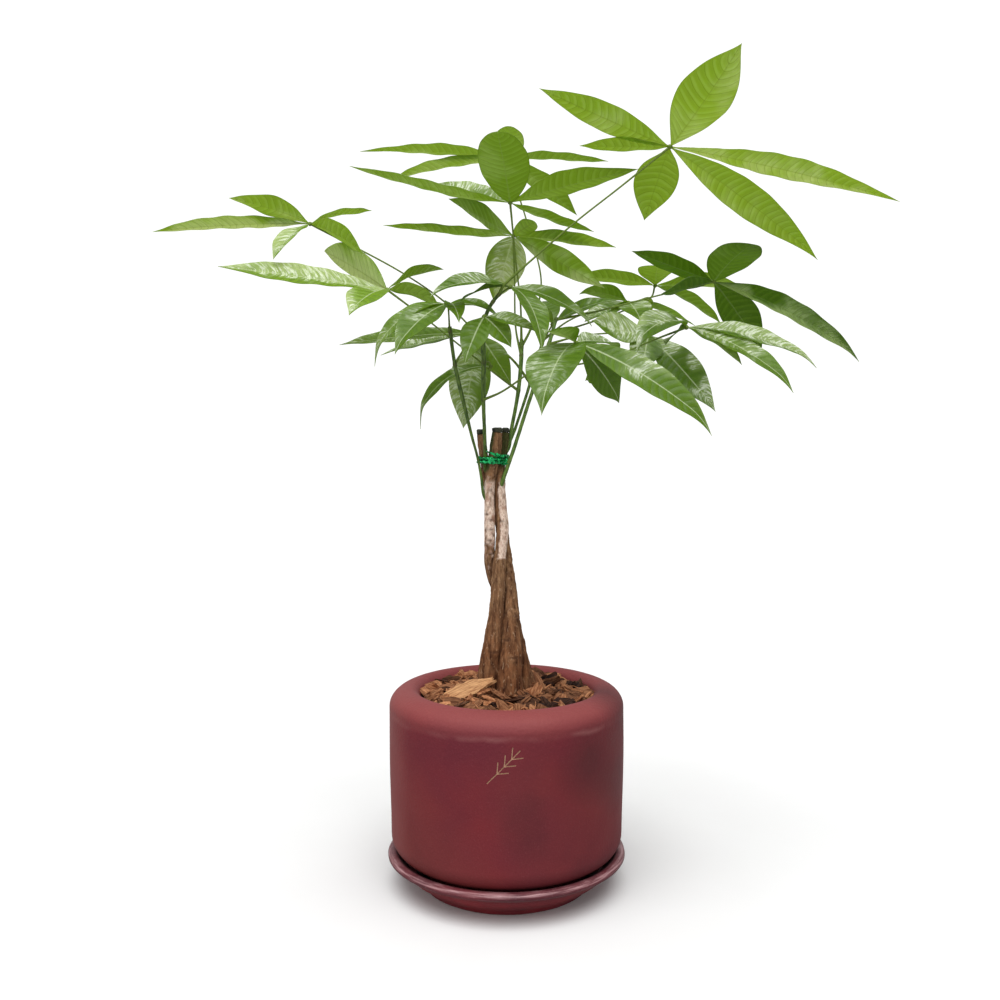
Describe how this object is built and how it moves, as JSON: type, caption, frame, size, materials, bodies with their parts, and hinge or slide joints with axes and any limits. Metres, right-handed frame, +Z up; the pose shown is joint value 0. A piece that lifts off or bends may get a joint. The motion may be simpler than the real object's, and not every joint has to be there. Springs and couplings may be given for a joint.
{
  "type": "potted money tree",
  "caption": "Potted money tree: braided cut trunks with capped tops, green side shoots and palmate leaves, in a round clay pot with a saucer.",
  "frame": {"origin": "centre of the saucer's flat underside, on the surface that the plant stands on", "axes": "+Z up, out of the pot. +X to the right of a viewer in front of the plant, on the side where the leaves reach farthest. +Y away from that viewer."},
  "size_m": [0.6313, 0.3313, 0.6625],
  "materials": {
    "clay": "matte mottled glaze on clay",
    "soil": "damp peaty potting soil",
    "bark_chips": "rough red-brown bark mulch with a pale splinter",
    "trunk_bark": "fibrous brown bark, papery and pale towards the top",
    "wax": "dark sealing wax",
    "tie": "metallic green tinsel wire",
    "green_shoot": "smooth green stem with reddish nodes",
    "leaf": "waxy leaf, lighter underneath"
  },
  "bodies": {
    "root": {"pot": "clay", "saucer": "clay", "soil": "soil", "bark_chips": "bark_chips", "trunk_front": "trunk_bark", "trunk_middle": "trunk_bark", "trunk_rear": "trunk_bark", "cap_front": "wax", "cap_middle": "wax", "cap_rear": "wax", "tie": "tie", "shoot_left": "green_shoot", "shoot_middle": "green_shoot", "shoot_right": "green_shoot", "shoot_back": "green_shoot", "shoot_far_right": "green_shoot", "leaf_top_right": "leaf", "leaf_crown_front": "leaf", "leaf_crown_middle": "leaf", "leaf_crown_back": "leaf", "leaf_left_far": "leaf", "leaf_left_mid": "leaf", "leaf_left_tip": "leaf", "leaf_left_low": "leaf", "leaf_low_curled": "leaf", "leaf_low_centre": "leaf", "leaf_top_centre": "leaf", "leaf_right_small": "leaf", "leaf_right_far": "leaf", "leaf_right_back": "leaf", "leaf_right_long": "leaf", "leaf_right_front": "leaf", "leaf_right_low": "leaf", "leaf_right_behind": "leaf"}
  },
  "joints": []
}
